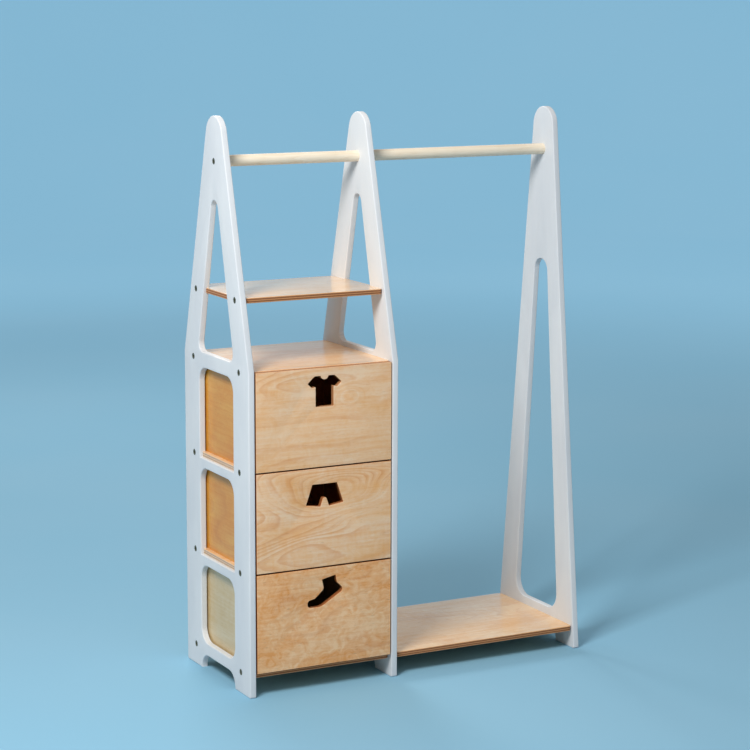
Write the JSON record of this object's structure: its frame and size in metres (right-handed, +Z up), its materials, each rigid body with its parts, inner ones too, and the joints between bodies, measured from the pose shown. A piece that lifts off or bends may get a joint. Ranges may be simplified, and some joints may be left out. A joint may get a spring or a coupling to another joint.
{
  "type": "clothing rack with drawers",
  "caption": "Free-standing clothes rack of plywood: A-shaped gables carry round hanging rails, with an open shelf over a stack of drawers beside a hanging bay above a low shelf.",
  "frame": {"origin": "on the floor, at the middle of the footprint", "axes": "+X to the right along the rails, seen from the drawer fronts; +Y to the back; +Z up"},
  "size_m": [0.876, 0.358, 1.3],
  "materials": {
    "white_paint": "satin paint on plywood",
    "birch_ply": "clear satin lacquer",
    "drawer_ply": "clear satin lacquer",
    "rail_wood": "clear satin lacquer",
    "dark_steel": "black oxide"
  },
  "bodies": {
    "frame": {"left_gable": "white_paint", "middle_gable": "white_paint", "right_gable": "white_paint", "short_rail": "rail_wood", "long_rail": "rail_wood", "upper_shelf": "birch_ply", "cabinet_top": "birch_ply", "upper_divider": "birch_ply", "lower_divider": "birch_ply", "cabinet_base": "birch_ply", "low_shelf": "birch_ply", "left_gable_screws": "dark_steel", "middle_gable_screws": "dark_steel", "right_gable_screws": "dark_steel", "through_screws": "dark_steel"},
    "top_drawer": {"top_drawer_front": "birch_ply", "top_drawer_left_side": "drawer_ply", "top_drawer_right_side": "drawer_ply", "top_drawer_back": "drawer_ply", "top_drawer_bottom": "drawer_ply", "top_drawer_screws": "dark_steel"},
    "middle_drawer": {"middle_drawer_front": "birch_ply", "middle_drawer_left_side": "drawer_ply", "middle_drawer_right_side": "drawer_ply", "middle_drawer_back": "drawer_ply", "middle_drawer_bottom": "drawer_ply", "middle_drawer_screws": "dark_steel"},
    "bottom_drawer": {"bottom_drawer_front": "birch_ply", "bottom_drawer_left_side": "drawer_ply", "bottom_drawer_right_side": "drawer_ply", "bottom_drawer_back": "drawer_ply", "bottom_drawer_bottom": "drawer_ply", "bottom_drawer_screws": "dark_steel"}
  },
  "joints": [
    {"name": "top_drawer_slide", "type": "slide", "parent": "frame", "child": "top_drawer", "axis": [0, -1, 0], "range_m": [0, 0.26]},
    {"name": "middle_drawer_slide", "type": "slide", "parent": "frame", "child": "middle_drawer", "axis": [0, -1, 0], "range_m": [0, 0.26]},
    {"name": "bottom_drawer_slide", "type": "slide", "parent": "frame", "child": "bottom_drawer", "axis": [0, -1, 0], "range_m": [0, 0.26]}
  ]
}
